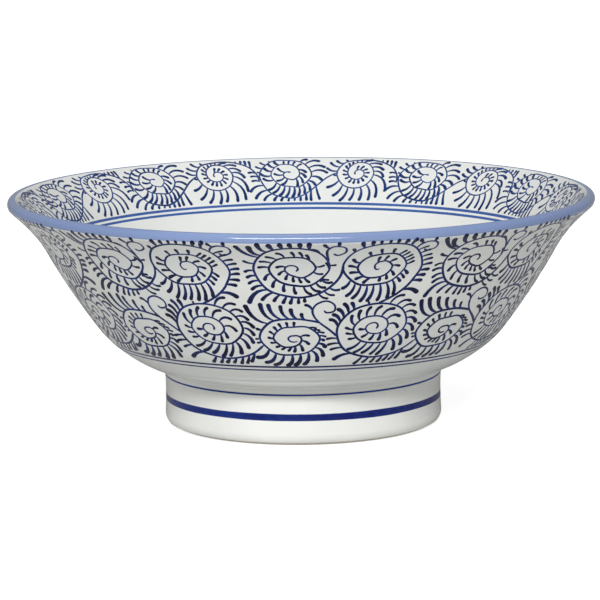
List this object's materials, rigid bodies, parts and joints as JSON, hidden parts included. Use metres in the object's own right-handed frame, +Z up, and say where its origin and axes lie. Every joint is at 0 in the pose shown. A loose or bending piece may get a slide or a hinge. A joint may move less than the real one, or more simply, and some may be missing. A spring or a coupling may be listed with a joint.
{
  "type": "porcelain serving bowl",
  "caption": "Wide porcelain serving bowl with flared, rounded rim, sloping wall and tall foot ring; scroll-painted white glaze outside and inside.",
  "frame": {"origin": "centre of the foot's standing ring, on the surface that the bowl stands on", "axes": "+Z up along the bowl's axis of revolution; +X to the right and -Y towards the viewer of the front"},
  "size_m": [0.208, 0.208, 0.082],
  "materials": {
    "porcelain_body": "fired unglazed porcelain, fine and matt",
    "fired_slip": "fired slip, matt",
    "clear_glaze": "clear glaze over white porcelain, glossy",
    "rim_blue_glaze": "soft blue band under clear glaze, glossy",
    "cobalt_blue": "underglaze cobalt painting, glossy"
  },
  "bodies": {
    "root": {"bowl_shell": "porcelain_body", "foot_ring": "porcelain_body", "luting_slip": "fired_slip", "inner_glaze": "clear_glaze", "outer_glaze": "clear_glaze", "rim_band": "rim_blue_glaze", "foot_glaze": "clear_glaze", "foot_well_glaze": "clear_glaze"}
  },
  "joints": []
}
